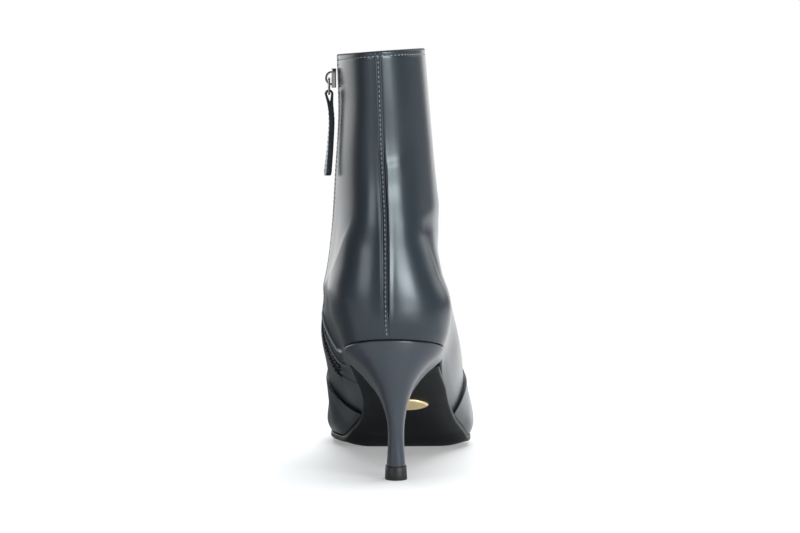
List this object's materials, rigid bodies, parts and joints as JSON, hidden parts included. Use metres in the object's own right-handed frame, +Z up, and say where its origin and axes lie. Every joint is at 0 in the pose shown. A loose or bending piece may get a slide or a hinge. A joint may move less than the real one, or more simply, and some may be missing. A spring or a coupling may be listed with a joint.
{
  "type": "heeled leather ankle boot",
  "caption": "Right ankle boot of smooth slate-grey leather with a pointed toe, back seam, inner side zip with leather pull, thin black sole and a flared leather-covered stiletto heel.",
  "frame": {"origin": "on the floor under the middle of the heel's top piece", "axes": "+Y to the toe, +X to the outer side of the right foot, +Z up the shaft"},
  "size_m": [0.0864, 0.2482, 0.2227],
  "materials": {
    "upper_leather": "smooth, semi-gloss slate grey",
    "heel_cover": "smooth, semi-gloss slate grey",
    "sole_leather": "black, polished",
    "sock": "matt dark grey",
    "tip_rubber": "matt black",
    "plate_metal": "plain, satin gold",
    "zip_fabric": "black woven tape",
    "zip_metal": "dark gunmetal"
  },
  "bodies": {
    "boot": {"upper": "upper_leather", "vamp": "upper_leather", "insole": "sock", "outsole": "sole_leather", "heel": "heel_cover", "heel_top_piece": "tip_rubber", "sole_plate": "plate_metal", "zip_tape": "zip_fabric", "zip_slider": "zip_metal"},
    "pull": {"zip_link": "zip_metal", "zip_pull_tab": "upper_leather"}
  },
  "joints": [
    {"name": "pull_swing", "type": "hinge", "parent": "boot", "child": "pull", "pos_m": [-0.03412, 0.0277, 0.207], "axis": [0, 1, 0], "range_deg": [0, 150]}
  ]
}
